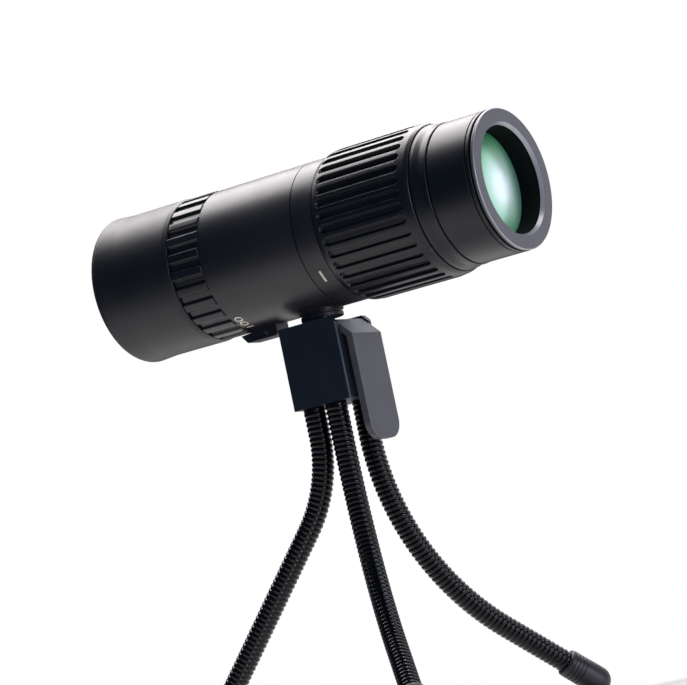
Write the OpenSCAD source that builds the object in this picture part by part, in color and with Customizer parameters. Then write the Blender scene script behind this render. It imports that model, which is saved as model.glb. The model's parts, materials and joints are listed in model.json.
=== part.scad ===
// Pocket zoom spotting scope on a mini tripod with a lever-lock ball head and gooseneck legs.
// X runs along the optical axis towards the objective, Z is up and the floor is Z = 0.
// A "station" is a distance along the axis, counted from the rear end of the eyecup.

/* [Scope lengths] */
// Length of the rubber eyecup
eyecup_len = 31.2; // [30:0.1:33]
// Width of the notched zoom ring
zoom_w = 12.4; // [12:0.1:14]
// Length of the plain main tube
body_len = 36.2; // [36:0.1:39]
// Width of the index collar between main tube and focus grip
index_len = 8.2; // [7.6:0.1:10]
// Length of the ribbed focus grip
grip_len = 36.6; // [36:0.1:39]
// Length of the objective end in front of the grip
front_len = 23.6; // [23:0.1:26]

/* [Scope radii] */
// Outside radius of the eyecup at its rear rim
eyecup_r = 24.5; // [24.2:0.1:25.5]
// Outside radius of the plain part of the eyecup
eyecup_grip_r = 24; // [23.8:0.1:24.2]
// Outside radius of the zoom ring over its lands
zoom_r = 23.7; // [23.5:0.1:24.2]
// Outside radius of the main tube and the index collar
body_r = 23.4; // [23.3:0.1:23.8]
// Outside radius of the focus grip
grip_r = 24.6; // [24.4:0.1:25.4]
// Outside radius of the objective tube
front_r = 22.7; // [22.5:0.1:23.2]
// Radius of the clear opening in the bezel
opening_r = 17.3; // [16.8:0.1:17.4]

/* [Ribs and marks] */
// Number of slots round the focus grip
grip_slots = 37; // [30:1:40]
// Number of notches round the zoom ring
zoom_notches = 26; // [20:1:30]

/* [Tripod head] */
// Height of the optical axis above the floor
axis_h = 160; // [155:1:165]
// Station of the head's vertical axis
head_station = 69.7; // [69:0.1:70]
// Width and depth of the head housing
head_w = 22; // [21.8:0.1:23]
// Height of the head housing
head_h = 26.5; // [26:0.1:27]
// Radius of the head's ball
ball_r = 5; // [4.9:0.1:5]
// Width of the clamping lever
lever_w = 17; // [16:0.5:17]
// Reach of the lever below its pivot
lever_reach = 36.9; // [30:0.1:40]

/* [Gooseneck legs] */
// Radius of a gooseneck
leg_r = 3.6; // [3.4:0.1:3.6]
// Radius of a rubber foot
foot_r = 4.6; // [4.4:0.1:5]
// Length of the straight part of a rubber foot
foot_len = 12; // [10:0.5:12]
// Bend radius of the rear leg
rear_bend_r = 45; // [40:1:50]
// Angle that the rear leg is bent through, in degrees
rear_bend = 40; // [35:1:44]
// Bend radius of the two front legs
front_bend_r = 90; // [85:1:90]
// Angle that the front legs are bent through, in degrees
front_bend = 50; // [45:1:51]

/* [Hidden] */

$fn = 96;
eps = 0.01;
// Gap between nested pieces that don't move on each other
seat = 0.02;
// Radial gap of a running fit
run = 0.08;
// Axial gap between pieces that turn on each other
side = 0.25;

// Stations of the joints between the outer pieces
zoom_x = eyecup_len;
body_x = zoom_x + zoom_w;
index_x = body_x + body_len;
grip_x = index_x + index_len;
front_x = grip_x + grip_len;
end_x = front_x + front_len;

// Radii of the nested tubes, from the outside in
wall = 2;
neck_r = 21;
guide_r = 21.2;
tail_r = 19.62;
core_r = 22.9;
barrel_r = 21.9;
cam_r = 19.3;
zoom_guide_r = 17.7;
eye_r = 13.1;
carrier_r = 16.12;

// Rear edge of the zoom mechanism and its two carriers
zoom_guide_x = 24.6;
zoom_guide_len = 35;
rear_carrier_x = 28;
front_carrier_x = 42;
carrier_len = 5;
zoom_screw_x = zoom_x + 7;
zoom_screw_turn = 95;
zoom_lens_r = 12;
pin_r = 0.8;

// Prism unit
prism_x = 62.5;
prism_len = 15.4;
prism_w = 17;

// Objective lens: station of its rim's front edge, and its radii
lens_x = end_x - 8.4;
crown_t = 3.3;
flint_t = 3;
lens_r = 17.8;
crown_front_R = 62;
crown_back_R = 85;

// Tripod boss, head and ball, as heights below the optical axis
boss_z = 23.8;
flange_z = 25.9;
head_top_z = 26.9;
head_bottom_z = head_top_z + head_h;
ball_z = 32.2;
flange_r = 6.9;
screw_r = 3.1;
insert_r = 4.5;
dish_r = 9.4;
dish_z = 30;
bore_r = 5.3;
base_t = 4;
base_w = head_w - 1.6;

// Lever: pivot measured from the head's axis and from the optical axis
lever_x = 8.5;
lever_z = 30.9;
hub_r = 2.6;
cam_lobe_r = 1.9;
lever_pin_r = 1.1;
plate_t = 2;
paddle_x = 14.9;
paddle_t = 2.3;
paddle_corner_r = 6;
pad_half_w = 2.6;

// Legs: radius of the straight parts, how far they run into the bend, height of the knee below
// the optical axis, straight length under the knee and height of a foot's centre
bar_r = leg_r - 0.03;
lap = 0.3;
knee_z = head_bottom_z + 1;
rear_straight = 8;
front_straight = 10;
foot_h = foot_r - 0.3;
leg_drop = axis_h - knee_z - foot_h;
rear_root = [-6.2, -6.2];
near_root = [2.2, -6.2];
far_root = [4.4, 6.2];
rear_turn = -170;
front_turn = 52;
rear_reach = rear_bend_r * (1 - cos(rear_bend))
    + leg_last(rear_straight, rear_bend_r, rear_bend) * sin(rear_bend);
rear_end_x = head_station + rear_root[0] + rear_reach * cos(rear_turn) - foot_r - 0.005;

// Station of the middle of the whole object, where X = 0
mid_x = (min(0, rear_end_x) + end_x) / 2;

// ---------------------------------------------------------------- helpers

// Places children on the optical axis: their Z axis runs along +X from the station
module along(x) translate([x - mid_x, 0, axis_h]) rotate([0, 90, 0]) children();

// Places children under the axis at the head, z counted down from the optical axis
module at_head(z) translate([head_station - mid_x, 0, axis_h - z]) children();

module tube(x0, x1, ro, ri) along(x0) difference() {
    cylinder(r = ro, h = x1 - x0);
    translate([0, 0, -1]) cylinder(r = ri, h = x1 - x0 + 2);
}

// Solid of revolution about the axis from [radius, station] points
module lathe(points) along(0) rotate_extrude() polygon(points);

// Points of an arc in the [radius, station] plane, angles in degrees
function arc(cr, cx, r, a0, a1, n = 6) =
    [for (i = [0:n]) let (a = a0 + (a1 - a0) * i / n) [cr + r * cos(a), cx + r * sin(a)]];

// Depth of a spherical face of radius R at radius r
function sag(R, r) = R - sqrt(R * R - r * r);

// A lens from its rim's two stations and the radii of its rear and front faces
module lens(x0, x1, r, rear_R, front_R) {
    n = 10;
    rear = [for (i = [0:n]) let (q = r * i / n) [q, x0 - sag(rear_R, r) + sag(rear_R, q)]];
    front = [for (i = [n:-1:0]) let (q = r * i / n) [q, x1 + sag(front_R, r) - sag(front_R, q)]];
    lathe(concat(rear, front));
}

// Three radial pins from radius r0 to r1
module radial_pins(x, r0, r1, r) along(x) for (k = [0:2]) rotate([0, 0, 120 * k])
    translate([r0, 0, 0]) rotate([0, 90, 0]) cylinder(r = r, h = r1 - r0, $fn = 32);

// Three slots along the axis through a tube wall
module axial_slots(x0, x1, r0, r1, w) along(x0) for (k = [0:2]) rotate([0, 0, 120 * k])
    translate([r0, -w / 2, 0]) cube([r1 - r0, w, x1 - x0]);

// A disc with count straight notches, depth deep, round its edge
module notched_disc(r, count, w, depth) difference() {
    circle(r = r);
    for (k = [0:count - 1]) rotate(360 / count * k) translate([r - depth, -w / 2])
        square([depth + 1, w]);
}

module rounded_rect(w, d, r) {
    square([w - 2 * r, d], center = true);
    square([w, d - 2 * r], center = true);
    for (sx = [-1, 1], sy = [-1, 1]) translate([sx * (w / 2 - r), sy * (d / 2 - r)])
        circle(r = r, $fn = 32);
}

// ---------------------------------------------------------------- fixed scope body

module main_tube() color([0.12, 0.12, 0.14]) difference() {
    union() {
        tube(body_x, index_x, body_r, body_r - wall);
        tube(zoom_guide_x, body_x + 3, neck_r, neck_r - 1.6);
        tube(body_x, body_x + 3, body_r - 1, neck_r - 1.6);
        tripod_boss();
    }
    at_head(boss_z + 1) cylinder(r = insert_r + seat, h = 6.2);
    zoom_screw_slot();
}

module tripod_boss() at_head(boss_z) cylinder(r = 7.2, h = 6.4);

// The zoom ring's screw runs in this slot through the neck
module zoom_screw_slot() along(zoom_screw_x) rotate([0, 0, zoom_screw_turn - 6])
    rotate_extrude(angle = 87) translate([neck_r - 3, -1.3]) square([4, 2.6]);

module index_ring() color([0.12, 0.12, 0.14]) difference() {
    union() {
        tube(index_x + 0.35, grip_x, body_r, guide_r + seat);
        tube(index_x, index_x + 0.35, body_r - 0.5, guide_r + seat);
    }
    mark_block(seat);
}

module mark_block(grow) along(index_x + 3.9 - grow) rotate([0, 0, -54.5 - grow])
    rotate_extrude(angle = 10.6 + 2 * grow) translate([body_r - 0.3 - grow, 0])
        square([0.3 + 2 * grow, 0.8 + 2 * grow]);

module index_mark() color("white") mark_block(0);

// Its slanted toe reaches back under the zoom ring
module strap_lug() color([0.12, 0.12, 0.14]) {
    lug_x = body_x + 0.6;
    lug_len = 9.8;
    lug_half_w = 3.5;
    lug_h = 3.8;
    difference() {
        translate([lug_x - mid_x, lug_half_w, axis_h]) rotate([90, 0, 0])
            linear_extrude(2 * lug_half_w) polygon([[0, -body_r + 1], [lug_len, -body_r + 1],
                [lug_len, -body_r - lug_h + 0.6], [lug_len - 0.6, -body_r - lug_h],
                [-2.2, -body_r - lug_h], [-4.2, -body_r - 1.2], [0, -body_r - 0.9]]);
        along(lug_x - 1) cylinder(r = body_r + seat, h = lug_len + 2);
        translate([lug_x + lug_len / 2 - mid_x, lug_half_w + 1, axis_h - body_r - 2])
            rotate([90, 0, 0]) cylinder(r = 1.2, h = 2 * lug_half_w + 2);
    }
}

module threaded_insert() color("goldenrod") at_head(boss_z) difference() {
    translate([0, 0, 0.2]) cylinder(r = insert_r, h = 5);
    translate([0, 0, -1]) cylinder(r = screw_r + run - 0.01, h = 7);
}

module focus_guide_sleeve() color([0.3, 0.3, 0.32]) difference() {
    tube(index_x - 0.3, front_x - 2.2, guide_r, tail_r + run);
    axial_slots(grip_x + 11, grip_x + 24, guide_r - 3, guide_r + 1, 2 * pin_r + 0.3);
}

module focus_retainer() color([0.3, 0.3, 0.32])
    tube(front_x - 3.6, front_x - 2.2, core_r - 0.4, guide_r + seat);

module eyepiece_barrel() color([0.15, 0.15, 0.17]) {
    tube(9, zoom_x, barrel_r, neck_r + seat);
    tube(9, 11.5, neck_r + seat, eye_r + seat);
    tube(11.5, 23, eye_r + 1.9, eye_r + seat);
}

module eyecup() color([0.08, 0.08, 0.09]) {
    rim_r = 2.4;
    plain_x = 8;
    inner_r = barrel_r + seat;
    lathe(concat(
        [[inner_r, zoom_x], [zoom_r, zoom_x], [eyecup_grip_r, zoom_x - 1.7],
            [eyecup_grip_r, plain_x]],
        arc(eyecup_r - rim_r, rim_r, rim_r, 0, -90),
        [[20.2, 0]], arc(20.2, 1.2, 1.2, -90, -180, 4),
        [[18.4, 8.8], [inner_r, 8.8]]));
}

module eye_lens() color([0.6, 0.75, 0.8]) lens(12, 14.5, eye_r, 30, 60);

module field_lens() color([0.6, 0.75, 0.8]) lens(18, 20.2, eye_r, 55, 40);

module eye_lens_spacer() color([0.2, 0.2, 0.2]) tube(14.8, 17.7, eye_r, eye_r - 1.1);

module eyepiece_retainer() color([0.2, 0.2, 0.2]) tube(20.75, 22.8, eye_r, eye_r - 1.5);

module zoom_guide_tube() color([0.35, 0.35, 0.37]) difference() {
    union() {
        tube(zoom_guide_x, zoom_guide_x + zoom_guide_len, zoom_guide_r, carrier_r + run);
        tube(zoom_guide_x, zoom_guide_x + 1.6, neck_r - 1.6 - seat, carrier_r + run);
    }
    axial_slots(rear_carrier_x + 1.2, rear_carrier_x + 8, 14, zoom_guide_r + 1, 2 * pin_r + 0.3);
    axial_slots(front_carrier_x + 1.2, front_carrier_x + 13, 14, zoom_guide_r + 1,
        2 * pin_r + 0.3);
}

module prism_cage() color([0.25, 0.25, 0.27]) difference() {
    along(prism_x - 1.5) cylinder(r = body_r - wall - seat, h = prism_len + 3);
    translate([prism_x - mid_x, -prism_w / 2 - 0.1, axis_h - prism_w / 2 - 0.1])
        cube([prism_len, prism_w + 0.2, prism_w + 0.2]);
    along(prism_x - 2.5) cylinder(r = 7.5, h = prism_len + 5);
    translate([prism_x - 2 - mid_x, -15, axis_h - 40]) cube([prism_len + 4, 30, 22.7]);
    clip_block(seat, 1);
}

// Roof prism in front and half prism behind, with a thin air gap between their slanted faces
module roof_prism() color([0.7, 0.8, 0.82]) prism_solid([[6.4, -8.5], [15.2, -8.5],
    [15.2, 8.5], [11.9, 8.5]]);

module half_prism() color([0.7, 0.8, 0.82]) prism_solid([[0.2, -8.5], [6, -8.5],
    [11.5, 8.5], [0.2, 8.5]]);

module prism_solid(outline) translate([prism_x - mid_x, prism_w / 2, axis_h])
    rotate([90, 0, 0]) linear_extrude(prism_w) polygon(outline);

module prism_clip() color("silver") clip_block(0, 0);

module clip_block(grow, deeper) translate([prism_x + 2 - grow - mid_x, -3 - grow,
    axis_h + prism_w / 2 + 0.08 - deeper]) cube([11 + 2 * grow, 6 + 2 * grow, 0.5 + deeper + grow]);

module field_stop() color([0.1, 0.1, 0.1])
    tube(prism_x - 2.6, prism_x - 1.6, body_r - wall - seat, 9);

// ---------------------------------------------------------------- zoom

module zoom_ring() color([0.1, 0.1, 0.12]) difference() {
    along(zoom_x + side) linear_extrude(zoom_w - 2 * side)
        notched_disc(zoom_r, zoom_notches, 2.6, 1);
    along(zoom_x - 1) cylinder(r = neck_r + run, h = zoom_w + 2);
    zoom_screw_hole(1.1);
}

module zoom_screw_hole(r) along(zoom_screw_x) rotate([0, 0, zoom_screw_turn]) translate([18, 0, 0])
    rotate([0, 90, 0]) cylinder(r = r, h = 8, $fn = 32);

module zoom_cam_tube() color([0.4, 0.4, 0.42]) difference() {
    tube(26.5, 59, cam_r, zoom_guide_r + run);
    tube(rear_carrier_x + 0.8, rear_carrier_x + 9, cam_r - 0.4, 10);
    tube(front_carrier_x + 0.8, front_carrier_x + 14, cam_r - 0.4, 10);
    zoom_screw_hole(1.1);
}

module zoom_drive_screw() color("silver") along(zoom_screw_x) rotate([0, 0, zoom_screw_turn])
    translate([18.1, 0, 0]) rotate([0, 90, 0]) cylinder(r = 1.05, h = 4.5, $fn = 32);

module carrier(x) color([0.5, 0.5, 0.52]) tube(x, x + carrier_len, carrier_r, zoom_lens_r + seat);

module carrier_pins(x) color("silver") radial_pins(x + 2.5, carrier_r + seat, cam_r - 0.6, pin_r);

module rear_carrier() carrier(rear_carrier_x);

module front_carrier() carrier(front_carrier_x);

module rear_carrier_pins() carrier_pins(rear_carrier_x);

module front_carrier_pins() carrier_pins(front_carrier_x);

module rear_zoom_lens() color([0.6, 0.75, 0.8])
    lens(rear_carrier_x + 1.6, rear_carrier_x + 3.4, zoom_lens_r, 70, 48);

module front_zoom_lens() color([0.6, 0.75, 0.8])
    lens(front_carrier_x + 1.6, front_carrier_x + 3.4, zoom_lens_r, 48, 70);

// ---------------------------------------------------------------- focus and objective

module focus_grip() color([0.09, 0.09, 0.1]) difference() {
    ramp = 4.4;
    slot_x = grip_x + 2.7;
    slot_len = grip_len - 6.2;
    slot_w = 2.3;
    slot_depth = 1.2;
    lathe([[core_r + seat, grip_x + side], [body_r + 0.2, grip_x + side],
        [grip_r, grip_x + ramp], [grip_r, front_x - 4.8], [grip_r - 0.12, front_x - 2.8],
        [grip_r - 0.35, front_x - 1.2], [grip_r - 0.6, front_x - 0.4], [grip_r - 0.9, front_x],
        [core_r + seat, front_x]]);
    along(slot_x) for (k = [0:grip_slots - 1]) rotate([0, 0, 360 / grip_slots * k])
        translate([grip_r - slot_depth, -slot_w / 2, 0]) cube([slot_depth + 1, slot_w, slot_len]);
}

// Carries the grip and turns on the guide sleeve; its groove drives the focus pins
module focus_core() color([0.35, 0.35, 0.37]) difference() {
    tube(grip_x + side, front_x - 0.4, core_r, guide_r + run);
    tube(grip_x + 10.5, grip_x + 24.5, core_r - 0.7, guide_r - 2);
    tube(front_x - 3.8, front_x + 1, core_r - 0.3, guide_r - 2);
}

module objective_tube() color([0.13, 0.13, 0.15]) {
    shoulder_x = front_x + 0.3;
    groove_x = front_x + 6;
    ring_x = end_x - 3.4;
    gap_x = end_x - 1.9;
    flange_x = end_x - 1.2;
    cut = 0.5;
    seat_x = lens_x - crown_t - flint_t - 1.5;
    lathe(concat(
        [[tail_r, grip_x + 9], [tail_r, shoulder_x], [front_r + 0.6, shoulder_x],
            [front_r + 0.8, shoulder_x + 0.3], [front_r + 0.65, shoulder_x + 1.2],
            [front_r + 0.35, shoulder_x + 2.4], [front_r + 0.2, shoulder_x + 3.6],
            [front_r + 0.2, groove_x], [front_r - cut, groove_x], [front_r - cut, groove_x + 0.4],
            [front_r, groove_x + 0.4], [front_r, ring_x], [front_r - cut, ring_x],
            [front_r - cut, ring_x + 0.4], [front_r, ring_x + 0.4], [front_r, gap_x],
            [front_r - 1, gap_x], [front_r - 1, flange_x], [18.1, flange_x],
            [18.1, lens_x + 0.1], [lens_r + seat, lens_x + 0.1], [lens_r + seat, seat_x],
            [18.2, seat_x - 1.5], [18.2, grip_x + 9]]));
}

// The front ring: its sleeve holds the lens in and its flange is the flat face round the glass
module bezel() color([0.42, 0.41, 0.43]) lathe([
    [opening_r, lens_x + 0.2], [18.08, lens_x + 0.2], [18.08, end_x - 1.2 + seat],
    [front_r - 0.1, end_x - 1.2 + seat], [front_r - 0.1, end_x - 0.3], [front_r - 0.4, end_x],
    [opening_r + 0.9, end_x], [opening_r, end_x - 1.3]]);

module objective_crown() color([0.35, 0.65, 0.45])
    lens(lens_x - crown_t, lens_x, lens_r, crown_back_R, crown_front_R);

// Dished to match the crown, with a film of cement between the two
module objective_flint() color([0.6, 0.75, 0.7]) {
    n = 10;
    film = 0.04;
    front = lens_x - crown_t - film;
    lathe(concat([for (i = [0:n]) let (q = lens_r * i / n)
            [q, front - sag(crown_back_R, lens_r) + sag(crown_back_R, q)]],
        [[lens_r, front - flint_t], [0, front - flint_t]]));
}

module objective_seat_ring() color([0.2, 0.2, 0.2])
    tube(lens_x - crown_t - flint_t - 1.4, lens_x - crown_t - flint_t - 0.1, lens_r, 16);

module focus_pins() color("silver") radial_pins(grip_x + 12.5, tail_r + seat, core_r - 0.9, pin_r);

// ---------------------------------------------------------------- ball stud

module ball_stud() color("silver") {
    at_head(ball_z) sphere(r = ball_r);
    at_head(ball_z) cylinder(r = 2.6, h = ball_z - flange_z);
}

module stud_flange() color([0.4, 0.4, 0.42]) at_head(flange_z) cylinder(r = flange_r, h = 1.5);

module flange_pad() color([0.08, 0.08, 0.08]) at_head(flange_z - 1.5) difference() {
    cylinder(r = flange_r - 0.4, h = 0.55);
    translate([0, 0, -1]) cylinder(r = screw_r + seat, h = 3);
}

module tripod_screw() color("silver") at_head(flange_z - 1.5) cylinder(r = screw_r, h = 5.2);

// ---------------------------------------------------------------- head

module head_housing() color([0.1, 0.11, 0.13]) difference() {
    at_head(head_bottom_z) linear_extrude(head_h) rounded_rect(head_w, head_w, 1);
    at_head(ball_z) sphere(r = ball_r + run);
    at_head(head_bottom_z - base_t) cylinder(r = bore_r, h = head_bottom_z - base_t - ball_z);
    at_head(dish_z) cylinder(r1 = 4.6, r2 = dish_r, h = dish_z - head_top_z);
    at_head(head_top_z) translate([0, 0, -eps]) cylinder(r = dish_r, h = 1);
    at_head(head_bottom_z) translate([0, 0, -1]) linear_extrude(base_t + 1)
        rounded_rect(base_w + 0.1, base_w + 0.1, 1);
    lever_space();
    pad_window();
    lever_pin_hole();
    at_head(head_bottom_z) base_screw_rods(0.9, 9.5);
}

// Room for the lever's hub and its sloping plate between the two ears
module lever_space() {
    half = lever_w / 2 + 0.3;
    at_head(lever_z) translate([lever_x, half, 0]) rotate([90, 0, 0])
        cylinder(r = hub_r + 0.65, h = 2 * half);
    at_head(lever_z) translate([lever_x, -half, 0]) rotate([0, 45, 0])
        translate([-10, 0, 0.3]) cube([24, 2 * half, 12]);
    at_head(head_top_z) translate([head_w / 2 - 2.2, -head_w, 0]) rotate([0, 45, 0])
        cube([6, 2 * head_w, 3]);
}

module pad_window() at_head(lever_z + 3) translate([3.4, -pad_half_w - 0.3, 0])
    cube([3.4, 2 * pad_half_w + 0.6, 5.2]);

// Open on the far side only
module lever_pin_hole() at_head(lever_z) translate([lever_x, head_w / 2 + 1, 0])
    rotate([90, 0, 0]) cylinder(r = lever_pin_r + seat, h = head_w);

module base_screw_rods(r, h) for (p = [[-7, 7], [8.2, -0.8]])
    translate([p[0], p[1], -eps]) cylinder(r = r, h = h, $fn = 32);

module head_base() color([0.1, 0.11, 0.13]) difference() {
    at_head(head_bottom_z) linear_extrude(base_t - seat) rounded_rect(base_w, base_w, 1);
    for (p = [rear_root, near_root, far_root]) at_head(knee_z) translate([p[0], p[1], 0])
        sphere(r = leg_r + 0.1);
    at_head(head_bottom_z) base_screw_rods(1, 9);
    at_head(head_bottom_z) base_screw_rods(1.9, 1.5);
}

module base_screws() color("silver") at_head(head_bottom_z) {
    base_screw_rods(0.88, 9);
    base_screw_rods(1.8, 1.4);
}

module ball_seat() color("white") difference() {
    at_head(ball_z + 6.6) cylinder(r = bore_r - seat, h = 5.2);
    at_head(ball_z) sphere(r = ball_r + run);
    at_head(ball_z + 8) cylinder(r = 1.5, h = 8);
}

// Stack of cupped spring washers that keeps the seat against the ball
module seat_springs() color("silver") {
    top = ball_z + 6.6;
    count = 8;
    t = (head_bottom_z - base_t - top - 0.2) / count;
    for (k = [0:count - 1]) at_head(top + 0.1 + t * (k + 1)) difference() {
        flip = k % 2;
        cylinder(r1 = flip ? 3.6 : 4.9, r2 = flip ? 4.9 : 3.6, h = t - 0.05);
        translate([0, 0, -eps]) cylinder(r = 2.2, h = t);
    }
}

module lever_pin() color("silver") at_head(lever_z) translate([lever_x, head_w / 2 - 0.2, 0])
    rotate([90, 0, 0]) cylinder(r = lever_pin_r, h = head_w - 1.4);

// Hub, sloping plate and long flat paddle in one piece
module lever() color([0.4, 0.39, 0.41]) difference() {
    union() {
        lever_hub();
        intersection() {
            lever_plates();
            at_head(lever_z) translate([0, 0, (12 - lever_reach) / 2]) rotate([0, 90, 0])
                linear_extrude(30) rounded_rect(lever_reach + 12, lever_w, paddle_corner_r);
        }
    }
    at_head(lever_z) translate([lever_x, lever_w, 0]) rotate([90, 0, 0])
        cylinder(r = lever_pin_r + run, h = 2 * lever_w);
}

// Cut back to the cam lobe where it turns against the clamp pad
module lever_hub() difference() {
    at_head(lever_z) translate([lever_x, lever_w / 2, 0]) rotate([90, 0, 0])
        cylinder(r = hub_r, h = lever_w);
    at_head(lever_z) translate([lever_x, pad_half_w + 0.4, 0]) rotate([90, 0, 0])
        rotate([0, 0, -24]) difference() {
            translate([-5, -5, 0]) cube([5, 10, 2 * pad_half_w + 0.8]);
            translate([0, 0, -1]) cylinder(r = cam_lobe_r, h = 2 * pad_half_w + 3);
        }
}

module lever_plates() {
    slope = hub_r * sqrt(2);
    inner = (hub_r - plate_t) * sqrt(2);
    top = 2.88;
    edge = plate_t / sqrt(2);
    at_head(lever_z) translate([lever_x, lever_w / 2, 0]) rotate([90, 0, 0])
        linear_extrude(lever_w) polygon([
            [slope - top, top],
            [paddle_x - lever_x, slope - paddle_x + lever_x],
            [paddle_x - lever_x, -lever_reach],
            [paddle_x - paddle_t - lever_x, -lever_reach],
            [paddle_x - paddle_t - lever_x, inner - paddle_x + paddle_t + lever_x],
            [slope - top - edge, top - edge]]);
}

// Presses on the ball when the lever is down
module clamp_pad() color([0.6, 0.55, 0.4]) difference() {
    at_head(lever_z + 2.7) translate([3.8, -pad_half_w, 0]) cube([2.5, 2 * pad_half_w, 3]);
    at_head(ball_z) sphere(r = ball_r + 0.15);
}

// ---------------------------------------------------------------- legs

// Length of the straight part after the bend
function leg_last(straight, bend_r, bend) =
    (leg_drop - straight - bend_r * sin(bend)) / cos(bend);

// A leg from its knee: straight down, a round bend outwards, then straight to the foot
module gooseneck(root, turn, straight, bend_r, bend) {
    last = leg_last(straight, bend_r, bend);
    at_head(knee_z) translate([root[0], root[1], 0]) rotate([0, 0, turn]) {
        sphere(r = leg_r + 0.03);
        translate([0, 0, -straight - lap]) cylinder(r = bar_r, h = straight + lap);
        translate([bend_r, 0, -straight]) rotate([90, 0, 0])
            rotate([0, 0, 180]) rotate_extrude(angle = bend, $fn = 180)
                translate([bend_r, 0]) circle(r = leg_r, $fn = 48);
        leg_end(straight, bend_r, bend) translate([0, 0, -lap])
            cylinder(r = bar_r, h = last - foot_len + 2 + lap);
    }
}

// Places children at the end of the bend, their Z axis running down the leg
module leg_end(straight, bend_r, bend)
    translate([bend_r * (1 - cos(bend)), 0, -straight - bend_r * sin(bend)])
        rotate([0, 180 - bend, 0]) children();

// Rubber foot with a round end, cut flat where it stands on the floor
module foot(root, turn, straight, bend_r, bend) color([0.06, 0.06, 0.06]) {
    last = leg_last(straight, bend_r, bend);
    difference() {
        at_head(knee_z) translate([root[0], root[1], 0]) rotate([0, 0, turn])
            leg_end(straight, bend_r, bend) {
                translate([0, 0, last - foot_len]) difference() {
                    cylinder(r = foot_r, h = foot_len);
                    translate([0, 0, -1]) cylinder(r = bar_r + seat, h = 3 + 0.05);
                }
                translate([0, 0, last]) sphere(r = foot_r + 0.005);
            }
        translate([-200, -200, -20]) cube([400, 400, 20]);
    }
}

module leg_rear() color([0.05, 0.05, 0.06])
    gooseneck(rear_root, rear_turn, rear_straight, rear_bend_r, rear_bend);

module leg_near() color([0.05, 0.05, 0.06])
    gooseneck(near_root, -front_turn, front_straight, front_bend_r, front_bend);

module leg_far() color([0.05, 0.05, 0.06])
    gooseneck(far_root, front_turn, front_straight, front_bend_r, front_bend);

module foot_rear() foot(rear_root, rear_turn, rear_straight, rear_bend_r, rear_bend);

module foot_near() foot(near_root, -front_turn, front_straight, front_bend_r, front_bend);

module foot_far() foot(far_root, front_turn, front_straight, front_bend_r, front_bend);

// ---------------------------------------------------------------- nodes

main_tube();
index_ring();
index_mark();
strap_lug();
threaded_insert();
focus_guide_sleeve();
focus_retainer();
eyepiece_barrel();
eyecup();
eye_lens();
field_lens();
eye_lens_spacer();
eyepiece_retainer();
zoom_guide_tube();
prism_cage();
roof_prism();
half_prism();
prism_clip();
field_stop();
zoom_ring();
zoom_cam_tube();
zoom_drive_screw();
rear_carrier();
rear_zoom_lens();
rear_carrier_pins();
front_carrier();
front_zoom_lens();
front_carrier_pins();
focus_grip();
focus_core();
objective_tube();
bezel();
objective_crown();
objective_flint();
objective_seat_ring();
focus_pins();
ball_stud();
stud_flange();
flange_pad();
tripod_screw();
head_housing();
head_base();
base_screws();
ball_seat();
seat_springs();
lever_pin();
lever();
clamp_pad();
leg_rear();
foot_rear();
leg_near();
foot_near();
leg_far();
foot_far();
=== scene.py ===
import json
import math

import bmesh
import bpy
from mathutils import Matrix, Vector


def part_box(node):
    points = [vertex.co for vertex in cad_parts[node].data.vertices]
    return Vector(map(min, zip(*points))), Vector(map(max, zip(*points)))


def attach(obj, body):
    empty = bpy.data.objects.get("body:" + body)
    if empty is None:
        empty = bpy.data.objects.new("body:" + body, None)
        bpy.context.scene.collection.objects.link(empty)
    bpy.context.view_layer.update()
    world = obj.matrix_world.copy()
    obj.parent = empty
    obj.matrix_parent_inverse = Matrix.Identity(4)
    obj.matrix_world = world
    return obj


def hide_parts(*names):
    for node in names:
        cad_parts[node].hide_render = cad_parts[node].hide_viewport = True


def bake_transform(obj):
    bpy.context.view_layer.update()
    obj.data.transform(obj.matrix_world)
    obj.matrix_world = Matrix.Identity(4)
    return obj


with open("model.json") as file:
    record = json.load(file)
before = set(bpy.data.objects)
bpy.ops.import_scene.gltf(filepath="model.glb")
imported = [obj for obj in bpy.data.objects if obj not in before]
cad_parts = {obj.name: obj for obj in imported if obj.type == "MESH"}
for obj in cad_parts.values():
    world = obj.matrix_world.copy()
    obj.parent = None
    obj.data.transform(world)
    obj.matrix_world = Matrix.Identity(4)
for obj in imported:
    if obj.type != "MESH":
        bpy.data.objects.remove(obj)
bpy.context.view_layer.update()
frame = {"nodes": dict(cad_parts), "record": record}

MM = 0.001
TAU = math.tau

# Where the CAD says things are. A "station" is a distance in mm from the eyecup's rear end.
eyecup_lo, eyecup_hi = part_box("eyecup")
X0 = eyecup_lo[0]
AXIS_H = (eyecup_lo[2] + eyecup_hi[2]) / 2
flange_lo, flange_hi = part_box("stud_flange")
HEAD_X = (flange_lo[0] + flange_hi[0]) / 2


def edge(node, side):
    """Station in mm of a node's rear (0) or front (1) end."""
    return (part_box(node)[side][0] - X0) / MM


def rim(node):
    """Outer radius in mm of a node that is round about the scope's axis."""
    return (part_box(node)[1][2] - AXIS_H) / MM


ZOOM_A, ZOOM_B = edge("zoom_ring", 0), edge("zoom_ring", 1)
GRIP_A, GRIP_B = edge("focus_grip", 0), edge("focus_grip", 1)
END = edge("bezel", 1)
EYECUP_END = edge("eyecup", 1)
EYECUP_R = rim("eyecup")
BARREL_R = rim("eyepiece_barrel") + 0.02
BODY_R = rim("index_ring")
GRIP_R = rim("focus_grip")
ZOOM_R = rim("zoom_ring")
FRONT_R = rim("objective_tube") - 0.8
RECESS = 8.4
LENS_EDGE = END - RECESS
LENS_R = 17.8
OPENING_R = 17.3


# ------------------------------------------------------------------ materials

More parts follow.
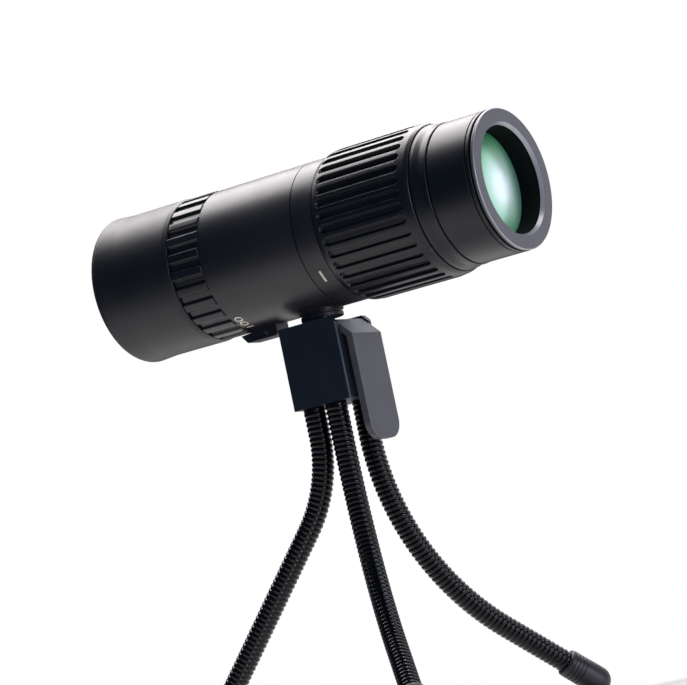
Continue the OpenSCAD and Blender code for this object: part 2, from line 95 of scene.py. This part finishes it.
def feed(tree, node, inputs):
    """Sets a node's inputs, each to a value or to the output that is linked to it."""
    for name, value in inputs.items():
        socket = node.inputs[name]
        if isinstance(value, bpy.types.NodeSocket):
            tree.links.new(value, socket)
        elif socket.type == "RGBA":
            socket.default_value = (*value, 1)
        else:
            socket.default_value = value


def add(tree, kind, inputs=None, **settings):
    """A new shader node with its settings and inputs."""
    node = tree.nodes.new("ShaderNode" + kind)
    for name, value in settings.items():
        setattr(node, name, value)
    feed(tree, node, inputs or {})
    return node


def mixed(tree, factor, a, b):
    """Colour that goes from a to b with the factor."""
    return add(tree, "Mix", {"Factor": factor, "A": a, "B": b}, data_type="RGBA").outputs["Result"]


def color_ramp(tree, factor, stops):
    """Colour from a list of (position, colour), in order."""
    node = add(tree, "ValToRGB", {"Fac": factor})
    elements = node.color_ramp.elements
    for element, (position, color) in ((elements[0], stops[0]), (elements[1], stops[-1])):
        element.position = position
        element.color = (*color, 1)
    for position, color in stops[1:-1]:
        elements.new(position).color = (*color, 1)
    return node.outputs["Color"]


def blank(name):
    """A new material, its node tree and its shader."""
    mat = bpy.data.materials.new(name)
    mat.use_nodes = True
    return mat, mat.node_tree, mat.node_tree.nodes["Principled BSDF"]


def material(name, color, rough, metal=0.0, grain=0.0, grain_size=0.4, vary=0.25, streak=None,
             spec=0.5, sheen=0.0, edge_wear_and_highlight=None):
    """Patchy colour and roughness, with sharp edges in a second colour if one is given for them:
    worn edges, lightened also as a painted highlight.
    The surface has a grain of grain_size mm, or turning lines if streak gives their fineness
    along x, y and z."""
    mat, tree, shader = blank(name)
    place = add(tree, "TexCoord").outputs["Object"]
    patches = add(tree, "TexNoise", {"Vector": place, "Scale": 90, "Detail": 5}).outputs["Fac"]
    base = mixed(tree, patches, [c * (1 - vary) for c in color],
                 [min(1, c * (1 + vary)) for c in color])
    # Sharp convex edges turn lighter: wear, and a painted highlight along the edges.
    if edge_wear_and_highlight:
        corners = add(tree, "NewGeometry").outputs["Pointiness"]
        worn_and_lit_edges = color_ramp(tree, corners, [(0.52, (0, 0, 0)), (0.62, (1, 1, 1))])
        base = mixed(tree, worn_and_lit_edges, base, edge_wear_and_highlight)
    spread = add(tree, "MapRange", {"Value": patches, "To Min": max(0.02, rough - 0.05),
                                    "To Max": min(1, rough + 0.07)})
    feed(tree, shader, {"Base Color": base, "Roughness": spread.outputs["Result"],
                        "Metallic": metal, "Specular IOR Level": spec,
                        "Sheen Weight": sheen, "Sheen Roughness": 0.4})
    if grain or streak:
        scale = 1 / (grain_size * MM)
        if streak:
            place = add(tree, "Mapping", {"Vector": place, "Scale": streak}).outputs["Vector"]
            scale = 1
        fine = add(tree, "TexNoise", {"Vector": place, "Scale": scale, "Detail": 3})
        bump = add(tree, "Bump", {"Height": fine.outputs["Fac"], "Strength": grain or 0.15,
                                  "Distance": 0.0002})
        feed(tree, shader, {"Normal": bump.outputs["Normal"]})
    return mat


def clear_glass():
    """Clear glass, a little darker where it is seen edge on."""
    mat, tree, shader = blank("clear_glass")
    facing = add(tree, "LayerWeight", {"Blend": 0.4}).outputs["Facing"]
    color = (0.86, 0.93, 0.92)
    feed(tree, shader, {"Base Color": mixed(tree, facing, color, [c * 0.55 for c in color]),
                        "Transmission Weight": 0.9, "IOR": 1.52, "Roughness": 0.03})
    return mat


def coated_glass():
    """Coating green to the rim, with a painted reflection: a painted white highlight near the
    middle and a painted teal shade at one side, all also given off as light, a painted glow.
    """
    mat, tree, shader = blank("coated_glass")
    # Centre of the painted highlight, a little off the axis.
    painted_highlight_y, painted_highlight_z = 2.6 * MM, AXIS_H - 0.8 * MM
    per_radius = 1 / (LENS_R * MM)
    place = add(tree, "TexCoord").outputs["Object"]
    from_painted_highlight = add(tree, "VectorMath", {0: place, 1: (0, painted_highlight_y, painted_highlight_z)},
                    operation="SUBTRACT").outputs["Vector"]
    scaled = add(tree, "VectorMath", {0: from_painted_highlight, 1: (0, per_radius, per_radius)},
                 operation="MULTIPLY").outputs["Vector"]
    outwards = add(tree, "VectorMath", {0: scaled}, operation="LENGTH").outputs["Value"]
    painted_reflection = color_ramp(tree, outwards, [
        (0.20, (0.78, 0.91, 0.97)), (0.40, (0.52, 0.72, 0.66)), (0.60, (0.30, 0.56, 0.42)),
        (0.80, (0.10, 0.32, 0.18)), (0.95, (0.03, 0.17, 0.08))])
    across = add(tree, "SeparateXYZ", {0: scaled}).outputs["Y"]
    # Painted teal shade towards one side of the lens.
    painted_teal_shade = add(tree, "MapRange", {"Value": across, "From Min": 0.32, "From Max": 0.72,
                                      "To Max": 0.85}).outputs["Result"]
    color = mixed(tree, painted_teal_shade, painted_reflection, (0.06, 0.16, 0.155))
    # Painted glow: the same colours are given off as light, though the lens is no lamp.
    feed(tree, shader, {"Base Color": color, "Emission Color": color, "Emission Strength": 0.5,
                        "Metallic": 0.92, "Roughness": 0.3, "IOR": 1.52})
    return mat


FINISHES = {
    # Finishes with an edge colour get lighter sharp edges: wear, and a painted highlight.
    "body_paint": dict(color=(0.0045, 0.006, 0.0105), rough=0.35, grain=0.10, grain_size=0.25,
                       edge_wear_and_highlight=(0.02, 0.02, 0.024)),
    "rubber": dict(color=(0.007, 0.0084, 0.0125), rough=0.42, grain=0.25, grain_size=0.3,
                   sheen=0.05),
    "mark": dict(color=(0.80, 0.75, 0.62), rough=0.6, grain=0.1, vary=0.08),
    "head_plastic": dict(color=(0.0062, 0.013, 0.025), rough=0.4, grain=0.25, grain_size=0.2),
    "lever_plastic": dict(color=(0.088, 0.087, 0.1), rough=0.42, grain=0.3, grain_size=0.2),
    "nylon": dict(color=(0.75, 0.73, 0.68), rough=0.4, grain=0.1),
    "steel": dict(color=(0.55, 0.56, 0.58), rough=0.25, metal=1, streak=(4000, 4000, 60)),
    "brass": dict(color=(0.68, 0.48, 0.18), rough=0.28, metal=1, streak=(4000, 4000, 60)),
    "black_aluminium": dict(color=(0.014, 0.014, 0.016), rough=0.42, grain=0.1,
                            streak=(6000, 90, 90)),
    "bezel_aluminium": dict(color=(0.122, 0.118, 0.132), rough=0.42, grain=0.08, grain_size=0.3),
    "zoom_rubber": dict(color=(0.0085, 0.0095, 0.0135), rough=0.28, grain=0.15, grain_size=0.25,
                        edge_wear_and_highlight=(0.014, 0.0145, 0.019)),
    "grip_rubber": dict(color=(0.0055, 0.007, 0.0105), rough=0.32, grain=0.15, grain_size=0.25,
                        edge_wear_and_highlight=(0.03, 0.03, 0.034)),
    "gooseneck": dict(color=(0.002, 0.0024, 0.0035), rough=0.14, spec=0.3,
                      edge_wear_and_highlight=(0.006, 0.006, 0.007)),
    # Lighter finishes for rounded edges: a painted highlight along them.
    "lever_edge_painted_highlight": dict(color=(0.42, 0.42, 0.44), rough=0.4, grain=0.2, grain_size=0.2),
    "black_edge_painted_highlight": dict(color=(0.016, 0.018, 0.026), rough=0.36, grain=0.15, grain_size=0.2),
    "bezel_recess": dict(color=(0.0015, 0.002, 0.003), rough=0.7, spec=0.15),
    # Bright cut metal edge, lightened also as a painted highlight.
    "bezel_cut_edge_and_highlight": dict(color=(0.4, 0.4, 0.43), rough=0.3, metal=0.35),
}
MATERIALS = {name: material(name, **finish) for name, finish in FINISHES.items()}
MATERIALS["clear_glass"] = clear_glass()
MATERIALS["coated_glass"] = coated_glass()

slots = {part["node"]: part["material_slot"] for part in frame["record"]["subparts"]}
for node, obj in frame["nodes"].items():
    obj.data.materials.clear()
    obj.data.materials.append(MATERIALS[slots[node]])


# ------------------------------------------------------------------ mesh helpers

def on_axis(x, r, a):
    """Point at station x and radius r in mm, at angle a about +X from straight down."""
    return Vector((X0 + x * MM, r * MM * math.sin(a), AXIS_H - r * MM * math.cos(a)))


def shade_smooth(mesh, sharp):
    """Smooth shading, but for edges of more than the given angle in degrees."""
    mesh.polygons.foreach_set("use_smooth", [True] * len(mesh.polygons))
    mesh.set_sharp_from_angle(angle=math.radians(sharp))


def placed(name, mesh, body, slot, *more_materials):
    """A new object for a mesh, riding on a body if one is given."""
    obj = bpy.data.objects.new(name, mesh)
    bpy.context.scene.collection.objects.link(obj)
    for mat in (MATERIALS[slot], *more_materials):
        mesh.materials.append(mat)
    if body:
        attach(obj, body)
    return obj


def solid(name, verts, faces, body, slot, sharp):
    """An object from a closed surface's points and faces."""
    mesh = bpy.data.meshes.new(name)
    mesh.from_pydata([tuple(v) for v in verts], [], faces)
    bm = bmesh.new()
    bm.from_mesh(mesh)
    bmesh.ops.recalc_face_normals(bm, faces=bm.faces)
    bm.to_mesh(mesh)
    bm.free()
    shade_smooth(mesh, sharp)
    return placed(name, mesh, body, slot)


def filleted(points, steps=4):
    """Rounds the corners of a closed outline given as (x, y) or (x, y, corner radius)."""
    out = []
    n = len(points)
    for i in range(n):
        p = Vector(points[i][:2])
        r = points[i][2] if len(points[i]) > 2 else 0
        if r <= 0:
            out.append(tuple(p))
            continue
        a = Vector(points[i - 1][:2]) - p
        b = Vector(points[(i + 1) % n][:2]) - p
        la, lb = a.length, b.length
        a.normalize()
        b.normalize()
        half = a.angle(b) / 2
        cut = min(r / math.tan(half), la * 0.49, lb * 0.49)
        r = cut * math.tan(half)
        centre = p + (a + b).normalized() * (r / math.sin(half))
        s, e = p + a * cut - centre, p + b * cut - centre
        turn = math.atan2(s.x * e.y - s.y * e.x, s.dot(e))
        for k in range(steps + 1):
            out.append(tuple(centre + Matrix.Rotation(turn * k / steps, 2) @ s))
    return out


def supported(points, gap=0.12):
    """Adds a point near both ends of each long straight side, so that it stays flat when shaded."""
    out = []
    for i, p in enumerate(points):
        a, b = Vector(p), Vector(points[(i + 1) % len(points)])
        out.append(tuple(a))
        if (b - a).length > 6 * gap:
            step = (b - a).normalized() * gap
            out += [tuple(a + step), tuple(b - step)]
    return out


def lathe(node, name, body, points, around=224, shape=None, sharp=35):
    """Ring turned about the axis from a closed outline of (station, radius), in a CAD node's place.
    around is a number of steps or a list of angles. shape(station, radius, angle) may change the
    radius."""
    n = len(points)
    angles = around if isinstance(around, list) else [TAU * k / around for k in range(around)]
    verts = [on_axis(x, shape(x, r, a) if shape else r, a) for a in angles for x, r in points]
    faces = []
    for k in range(len(angles)):
        after = (k + 1) % len(angles)
        for i in range(n):
            j = (i + 1) % n
            faces.append((k * n + i, k * n + j, after * n + j, after * n + i))
    obj = solid(name, verts, faces, body, slots[node], sharp)
    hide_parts(node)
    return obj


def cap(radius, rim_x, rim_r, side, n=24):
    """Points of a spherical face from the axis to the rim; side +1 bulges to the front."""
    sag = radius - math.sqrt(radius ** 2 - rim_r ** 2)
    return [(rim_x + side * (sag - radius + math.sqrt(radius ** 2 - (rim_r * i / n) ** 2)),
             rim_r * i / n) for i in range(n + 1)]


def lens(node, name, body, rear, front, around=128):
    """Lens between two spherical faces, in a CAD node's place."""
    points = rear + front[::-1]
    inner = points[1:-1]
    m = len(inner)
    verts = [on_axis(points[0][0], 0, 0), on_axis(points[-1][0], 0, 0)]
    verts += [on_axis(x, r, TAU * k / around) for k in range(around) for x, r in inner]
    faces = []
    for k in range(around):
        a, b = 2 + k * m, 2 + (k + 1) % around * m
        faces.append((0, a, b))
        faces.append((1, b + m - 1, a + m - 1))
        for i in range(m - 1):
            faces.append((a + i, a + i + 1, b + i + 1, b + i))
    obj = solid(name, verts, faces, body, slots[node], sharp=35)
    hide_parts(node)


def refine(node, body, width, edge_highlight_material):
    """A copy of a CAD node with its sharp edges rounded and finished in a second, lighter material:
    a painted highlight along the rounded edges.
    """
    source = frame["nodes"][node]
    bm = bmesh.new()
    bm.from_mesh(source.data)
    bm.transform(source.matrix_world)
    bmesh.ops.remove_doubles(bm, verts=bm.verts, dist=2e-6)
    bmesh.ops.dissolve_limit(bm, angle_limit=math.radians(0.5), verts=bm.verts, edges=bm.edges)
    sharp = [e for e in bm.edges if e.is_manifold and e.calc_face_angle(0) > math.radians(30)]
    rounded = bmesh.ops.bevel(bm, geom=sharp, offset=width * MM, offset_type="OFFSET",
                              segments=3, profile=0.5, affect="EDGES", clamp_overlap=True)
    for face in rounded["faces"]:
        face.material_index = 1
    bmesh.ops.recalc_face_normals(bm, faces=bm.faces)
    mesh = bpy.data.meshes.new(node + "_rounded")
    bm.to_mesh(mesh)
    bm.free()
    shade_smooth(mesh, 35)
    obj = placed(node + "_rounded", mesh, body, slots[node], MATERIALS[edge_highlight_material])
    obj.modifiers.new("normals", "WEIGHTED_NORMAL").keep_sharp = True
    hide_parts(node)


# ------------------------------------------------------------------ slots round a ring

def slot_angles(count, radius, half_w, spread=1):
    """Angles round a ring of count slots, the first at a quarter turn, closer at the slot walls."""
    half_pitch = TAU * radius / count / 2
    wall = [half_w + d * spread for d in (-0.22, -0.16, -0.11, -0.06, 0, 0.06, 0.11, 0.16, 0.22)]
    inside = [0.3 * half_w, 0.6 * half_w]
    outside = [half_w + (half_pitch - half_w) * t for t in (0.55, 0.8)]
    side = sorted(inside + wall + outside)
    offsets = [-v for v in reversed(side)] + [0] + side + [half_pitch]
    return [TAU / 4 + TAU * k / count + v / radius for k in range(count) for v in offsets]


def from_slot(a, count, radius):
    """Distance in mm round a ring from the middle of the nearest slot."""
    pitch = TAU / count
    return abs((a - TAU / 4 + pitch / 2) % pitch - pitch / 2) * radius


def sunk(distance, half_w, wall):
    """Share of a slot's depth at a distance from its middle line: 1 on the floor, 0 outside."""
    t = min(1, max(0, (half_w + wall / 2 - distance) / wall))
    return t * t * (3 - 2 * t)


# ------------------------------------------------------------------ scope

lathe("eyecup", "eyecup_rubber", "scope", supported(filleted([
    (EYECUP_END, BARREL_R), (EYECUP_END, ZOOM_R, 0.3), (EYECUP_END - 1.7, 24.0, 3),
    (9.0, 24.0, 12), (2.0, EYECUP_R, 2.4), (0.0, 23.4, 2.2), (0.0, 20.0, 0.9),
    (1.2, 19.0, 0.8), (8.8, 18.4), (8.8, BARREL_R)])), around=256)

# Zoom ring with broad notches
NOTCHES = 26
NOTCH_HALF_W = 1.3
NOTCH_DEPTH = 0.9
NOTCH_WALL = 0.84
NECK_R = 21.08


def notched(x, r, a):
    if r < ZOOM_R - 0.6:
        return r
    return r - NOTCH_DEPTH * sunk(from_slot(a, NOTCHES, ZOOM_R), NOTCH_HALF_W, NOTCH_WALL)


lathe("zoom_ring", "zoom_ring_notched", "zoom", supported(filleted([
    (ZOOM_B, NECK_R), (ZOOM_B, ZOOM_R, 0.3), (ZOOM_A, ZOOM_R, 0.3), (ZOOM_A, NECK_R)])),
    around=slot_angles(NOTCHES, ZOOM_R, NOTCH_HALF_W, 2.2), shape=notched, sharp=50)

# Ribbed focus grip: slots with rounded ends
SLOTS = 37
SLOT_HALF_W = 1.18
SLOT_DEPTH = 1.15
SLOT_WALL = 0.4
SLOT_A, SLOT_B = GRIP_A + 2.2, GRIP_B - 3.4
SLOT_END_ZONE = 1.9
FINE_STEP, COARSE_STEP = 0.13, 1.5
SHORT_SIDE, CLEARANCE = 0.3, 0.05
CORE_R = 22.93


def slotted(x, r, a):
    if r < BODY_R - 0.1:
        return r
    beyond = max(SLOT_A + SLOT_HALF_W - x, x - SLOT_B + SLOT_HALF_W, 0)
    distance = math.hypot(from_slot(a, SLOTS, GRIP_R), beyond)
    return r - SLOT_DEPTH * sunk(distance, SLOT_HALF_W, SLOT_WALL)


def next_station(x):
    """The next station along the grip: a fine step near a slot's end, otherwise a coarse one."""
    if min(abs(x - SLOT_A), abs(x - SLOT_B)) < SLOT_END_ZONE:
        return x + FINE_STEP
    for zone in (SLOT_A - SLOT_END_ZONE, SLOT_B - SLOT_END_ZONE):
        if x < zone < x + COARSE_STEP:
            return zone + 0.01
    return x + COARSE_STEP


def stepped(outline):
    """Adds stations along the long outer sides of the grip's outline."""
    out = []
    for (xa, ra), (xb, rb) in zip(outline, outline[1:]):
        out.append((xa, ra))
        if min(ra, rb) <= BODY_R or xb - xa <= SHORT_SIDE:
            continue
        x = next_station(xa)
        while x < xb - CLEARANCE:
            out.append((x, ra + (rb - ra) * (x - xa) / (xb - xa)))
            x = next_station(x)
    return out + outline[-1:]


lathe("focus_grip", "focus_grip_ribbed", "focus", stepped(filleted([
    (GRIP_A, CORE_R), (GRIP_A, BODY_R + 0.1, 0.3), (GRIP_A + 1.9, GRIP_R - 0.25, 0.8),
    (GRIP_A + 4.2, GRIP_R, 4), (GRIP_B - 4.4, GRIP_R, 4), (GRIP_B - 1.2, GRIP_R - 0.4, 2),
    (GRIP_B, GRIP_R - 0.9, 0.3), (GRIP_B, CORE_R)])),
    around=slot_angles(SLOTS, GRIP_R, SLOT_HALF_W), shape=slotted, sharp=60)

# Objective tube, bezel and lens
TAIL = edge("objective_tube", 0)
TAIL_R = 19.62
TAIL_BORE_R = 18.2
SEAT_R = 18.1
SHOULDER = GRIP_B + 0.3
GROOVE = GRIP_B + 6
RING = END - 3.4
lathe("objective_tube", "objective_barrel", "objective", supported(filleted([
    (TAIL, TAIL_R, 0.3), (SHOULDER, TAIL_R), (SHOULDER, FRONT_R + 0.75, 0.3),
    (SHOULDER + 1.3, FRONT_R + 0.65, 2), (SHOULDER + 3.2, FRONT_R + 0.2, 4),
    (GROOVE, FRONT_R + 0.2, 0.25), (GROOVE, FRONT_R - 0.5), (GROOVE + 0.45, FRONT_R - 0.5),
    (GROOVE + 0.45, FRONT_R, 0.2), (RING, FRONT_R, 0.15), (RING, FRONT_R - 0.45),
    (RING + 0.35, FRONT_R - 0.45), (RING + 0.35, FRONT_R, 0.15), (END - 1.9, FRONT_R, 0.2),
    (END - 1.9, FRONT_R - 1), (END - 1.2, FRONT_R - 1), (END - 1.2, SEAT_R),
    (LENS_EDGE + 0.1, SEAT_R), (LENS_EDGE + 0.1, LENS_R + 0.02),
    (LENS_EDGE - 7.8, LENS_R + 0.02), (LENS_EDGE - 9.3, TAIL_BORE_R),
    (TAIL, TAIL_BORE_R, 0.3)])), around=288)

LIP = 0.9
bezel = lathe("bezel", "front_bezel", "objective", supported(filleted([
    (LENS_EDGE + 0.2, OPENING_R), (LENS_EDGE + 0.2, SEAT_R - 0.02), (END - 1.18, SEAT_R - 0.02),
    (END - 1.18, FRONT_R - 0.1, 0.15), (END, FRONT_R - 0.1, 0.45),
    (END, OPENING_R + LIP, 0.12), (END - 1.3, OPENING_R, 0.3)])), around=288)
# Blackened inside, with bright cut edges round the opening and the rim, their brightness partly a
# painted highlight
bezel.data.materials.append(MATERIALS["bezel_recess"])
bezel.data.materials.append(MATERIALS["bezel_cut_edge_and_highlight"])
for face in bezel.data.polygons:
    at = (face.center.x - X0) / MM
    radius = math.hypot(face.center.y, face.center.z - AXIS_H) / MM
    on_lip = at < END - 0.05 and radius < OPENING_R + LIP
    on_rim = at > END - 0.5 and radius > FRONT_R - 0.45
    if at < END - 1.2 and radius < OPENING_R + 0.3:
        face.material_index = 1
    elif on_lip or on_rim:
        face.material_index = 2

EYE_LENS_R = 13.1
lens("objective_crown", "crown_lens", "objective",
     rear=cap(85, LENS_EDGE - 3.3, LENS_R, -1), front=cap(62, LENS_EDGE, LENS_R, 1))
lens("eye_lens", "eye_lens_smooth", "scope",
     rear=cap(30, 12, EYE_LENS_R, -1), front=cap(60, 14.5, EYE_LENS_R, 1))

# Rounded edges finished with a painted highlight.
for node, body, width, edge_highlight_material in (
        ("strap_lug", "scope", 0.35, "black_edge_painted_highlight"), ("stud_flange", "stud", 0.3, "black_edge_painted_highlight"),
        ("head_housing", "head", 0.4, "black_edge_painted_highlight"), ("head_base", "head", 0.2, "black_edge_painted_highlight"),
        ("lever", "lever", 0.4, "lever_edge_painted_highlight")):
    refine(node, body, width, edge_highlight_material)

# Zoom scale: printed numerals round the main tube, their tops towards the eyepiece
DIGIT_H = 2.8
FONT_DIGIT_H = 0.7
STRETCH = 1.55
BASELINE = ZOOM_B + 4
INK = 0.025


def numeral(text, turn):
    """A number printed on the tube, turned by so many degrees about the axis."""
    curve = bpy.data.curves.new("numeral_curve", "FONT")
    curve.body = text
    curve.size = DIGIT_H / FONT_DIGIT_H
    curve.align_x = "CENTER"
    flat = bpy.data.objects.new("numeral_flat", curve)
    bpy.context.scene.collection.objects.link(flat)
    mesh = bpy.data.meshes.new_from_object(flat)
    bpy.data.objects.remove(flat)
    for v in mesh.vertices:
        angle = math.radians(turn) - STRETCH * v.co.x / BODY_R
        v.co = on_axis(BASELINE - v.co.y, BODY_R + INK, angle)
    mesh.name = "numeral_" + text
    placed("numeral_" + text, mesh, "scope", "mark")


for text, turn in (("100", -23), ("60", 12), ("30", 44)):
    numeral(text, turn)


# ------------------------------------------------------------------ legs

LEG_R = 3.57
PITCH = 1.65
RIDGE = 0.34
RINGS_PER_PITCH = 9
TOP_R = 3.5
BLEND_LENGTH = 26
FOOT_R, FOOT_LEN = 4.6, 12
KNEE_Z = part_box("head_base")[0][2] / MM - 1
LEG_DROP = KNEE_Z - (FOOT_R - 0.3)
LEGS = {
    "rear": dict(root=(-6.2, -6.2), turn=-170, straight=8, bend_r=45, bend=40),
    "near": dict(root=(2.2, -6.2), turn=-52, straight=10, bend_r=90, bend=50),
    "far": dict(root=(4.4, 6.2), turn=52, straight=10, bend_r=90, bend=50),
}


def leg_path(leg, s):
    """Point, outward side vector and direction at distance s mm below the knee."""
    t = math.radians(leg["turn"])
    out = Vector((math.cos(t), math.sin(t), 0))
    down = Vector((0, 0, -1))
    straight, bend_r = leg["straight"], leg["bend_r"]
    arc = bend_r * math.radians(leg["bend"])
    a = min(max(s - straight, 0), arc) / bend_r
    direction = down * math.cos(a) + out * math.sin(a)
    side = out * math.cos(a) - down * math.sin(a)
    p = down * min(s, straight)
    p += down * bend_r * math.sin(a) + out * bend_r * (1 - math.cos(a))
    p += direction * max(s - straight - arc, 0)
    root = Vector((HEAD_X / MM + leg["root"][0], leg["root"][1], KNEE_Z))
    return root + p, side, direction


def leg_tube(name, leg, rings, body, slot, around=36):
    """Tube along a leg from (distance, radius) rings, closed at both ends.
    A radius may be a function of the distance and the angle round the tube."""
    verts, faces = [], []
    for s, r in rings:
        p, side, direction = leg_path(leg, max(s, 0))
        p += direction * min(s, 0)
        across = direction.cross(side)
        for k in range(around):
            a = TAU * k / around
            radius = r(s, a) if callable(r) else r
            verts.append((p + (side * math.cos(a) + across * math.sin(a)) * radius) * MM)
    last = (len(rings) - 1) * around
    for i in range(0, last, around):
        for k in range(around):
            after = (k + 1) % around
            faces.append((i + k, i + after, i + around + after, i + around + k))
    faces.append(tuple(range(around)))
    faces.append(tuple(reversed(range(last, last + around))))
    return solid(name, verts, faces, body, slot, sharp=50)


def ridge(s, a):
    """Radius of the wound conduit: a rounded ridge running round it as a helix."""
    phase = (s / PITCH + a / TAU) % 1
    lift = math.sin(math.pi * phase / 0.8) ** 0.5 if phase < 0.8 else 0
    return LEG_R - RIDGE * (1 - lift)


def gooseneck(which, leg, length):
    """Wound tube with a domed top in the head, reaching into the foot."""
    rings = []
    for i in range(6):
        tilt = math.radians(75 - 15 * i)
        rings.append((-TOP_R * math.sin(tilt), TOP_R * math.cos(tilt)))
    step = PITCH / RINGS_PER_PITCH
    end = length - FOOT_LEN + 2.4
    rings += [(0.2 + step * i, ridge) for i in range(int((end - 0.2) / step) + 1)]
    neck = leg_tube("gooseneck_" + which, leg, rings, None, "gooseneck")
    knee, _, _ = leg_path(leg, 0)
    low, _, _ = leg_path(leg, BLEND_LENGTH)
    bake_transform(neck)
    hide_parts("leg_" + which)


def foot(which, leg, length):
    """Rubber foot with four grooves and a round end, cut flat where it stands."""
    top = length - FOOT_LEN
    rings = [(top, 3.75), (top + 0.02, 4.15), (top + 0.25, 4.4)]
    for i in range(4):
        g = top + 1.6 + i * 1.3
        rings += [(g, FOOT_R - 0.05), (g + 0.15, FOOT_R - 0.3), (g + 0.4, FOOT_R - 0.3),
                  (g + 0.55, FOOT_R - 0.05)]
    rings.append((top + 8, FOOT_R))
    for i in range(12):
        tilt = math.radians(8 * i)
        rings.append((length + FOOT_R * math.sin(tilt), FOOT_R * math.cos(tilt)))
    tip = leg_tube("foot_tip_" + which, leg, rings, which + "_leg", "rubber", around=48)
    for v in tip.data.vertices:
        v.co.z = max(v.co.z, 0.0)
    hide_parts("foot_" + which)


for which, leg in LEGS.items():
    bend = math.radians(leg["bend"])
    last = (LEG_DROP - leg["straight"] - leg["bend_r"] * math.sin(bend)) / math.cos(bend)
    length = leg["straight"] + leg["bend_r"] * bend + last
    gooseneck(which, leg, length)
    foot(which, leg, length)


# ------------------------------------------------------------------ stage, light and camera

FLOOR_R = 0.6
FADE_FROM_R = 0.2
FLOOR_SIDES = 96


def pale_floor():
    """Plain pale round floor, sizes in m, that fades out towards its rim."""
    angles = [TAU * k / FLOOR_SIDES for k in range(FLOOR_SIDES)]
    rim_points = [(FLOOR_R * math.cos(a), FLOOR_R * math.sin(a), 0) for a in angles]
    mesh = bpy.data.meshes.new("floor")
    mesh.from_pydata(rim_points, [], [tuple(range(FLOOR_SIDES))])
    floor = bpy.data.objects.new("floor", mesh)
    floor.location.z = -0.0002
    bpy.context.scene.collection.objects.link(floor)
    mat, tree, paper = blank("floor_pale")
    feed(tree, paper, {"Base Color": (0.80, 0.785, 0.755), "Roughness": 0.9})
    place = add(tree, "TexCoord").outputs["Object"]
    distance = add(tree, "VectorMath", {0: place}, operation="LENGTH").outputs["Value"]
    fade = add(tree, "MapRange", {"Value": distance, "From Min": FADE_FROM_R,
                                  "From Max": FLOOR_R - 0.02}, interpolation_type="SMOOTHSTEP")
    clear = add(tree, "BsdfTransparent")
    faded = add(tree, "MixShader", {0: fade.outputs["Result"], 1: paper.outputs["BSDF"],
                                    2: clear.outputs["BSDF"]})
    feed(tree, tree.nodes["Material Output"], {"Surface": faded.outputs["Shader"]})
    mesh.materials.append(mat)


def studio_world():
    """Faint blue light from all round, behind a background that the camera sees as white."""
    world = bpy.data.worlds.new("studio")
    bpy.context.scene.world = world
    world.use_nodes = True
    tree = world.node_tree
    sky = tree.nodes["Background"]
    feed(tree, sky, {"Color": (0.35, 0.6, 1), "Strength": 0.09})
    white = add(tree, "Background", {"Color": (1, 1, 1), "Strength": 1.0})
    seen = add(tree, "LightPath").outputs["Is Camera Ray"]
    both = add(tree, "MixShader", {0: seen, 1: sky.outputs["Background"],
                                   2: white.outputs["Background"]})
    feed(tree, tree.nodes["World Output"], {"Surface": both.outputs["Shader"]})


def softbox(name, aim, offset, size, power, color):
    """Rectangular lamp at an offset from the point that it shines on, in m and W."""
    light = bpy.data.lights.new(name, "AREA")
    light.shape = "RECTANGLE"
    light.size, light.size_y = size
    light.energy = power
    light.color = color
    lamp = bpy.data.objects.new(name, light)
    bpy.context.scene.collection.objects.link(lamp)
    lamp.location = aim + Vector(offset)
    lamp.rotation_mode = "QUATERNION"
    lamp.rotation_quaternion = (-Vector(offset)).to_track_quat("-Z", "Y")


pale_floor()
studio_world()
MIDDLE = Vector((0, 0, AXIS_H))
FRONT = Vector((X0 + END * MM, 0, AXIS_H))
softbox("top", MIDDLE, (-0.45, 0.40, 0.9), (1.0, 0.8), 18.5, (1, 0.95, 0.95))
softbox("front", MIDDLE, (1.0, -0.2, 0.06), (0.7, 0.5), 5.0, (0.85, 0.85, 1))
softbox("lens_glow", FRONT, (0.32, 0.87, 0.12), (1.1, 1.1), 2.6, (0.97, 1, 1))
softbox("lip", FRONT, (0.352, 0.15, 0.8), (0.4, 0.4), 2.0, (1, 0.97, 0.96))
softbox("side", MIDDLE, (-0.1, 0.84, 0.53), (0.6, 0.6), 1.8, (0.92, 0.93, 1))

# The camera was worked out from the object's own lines: it looks at the scope from the
# objective's side, from a little below the axis, and is rolled. Its place is in mm from the
# axis at the eyecup's rear end.
CAMERA_AT = (664.218, -935.862, -150.388)
AZIMUTH = math.radians(-57.8251)
ELEVATION = math.radians(-5.9640)
ROLL = math.radians(-11.8)
camera = bpy.data.objects.new("camera", bpy.data.cameras.new("camera"))
bpy.context.scene.collection.objects.link(camera)
bpy.context.scene.camera = camera
camera.data.sensor_width = 36
camera.data.lens = 183.4
camera.data.clip_start = 0.05
camera.location = Vector((X0, 0, AXIS_H)) + Vector(CAMERA_AT) * MM
camera.rotation_mode = "QUATERNION"
camera.rotation_quaternion = (Matrix.Rotation(AZIMUTH + TAU / 4, 3, "Z")
                              @ Matrix.Rotation(TAU / 4 - ELEVATION, 3, "X")
                              @ Matrix.Rotation(ROLL, 3, "Z")).to_quaternion()

bpy.context.scene.view_settings.view_transform = "Standard"
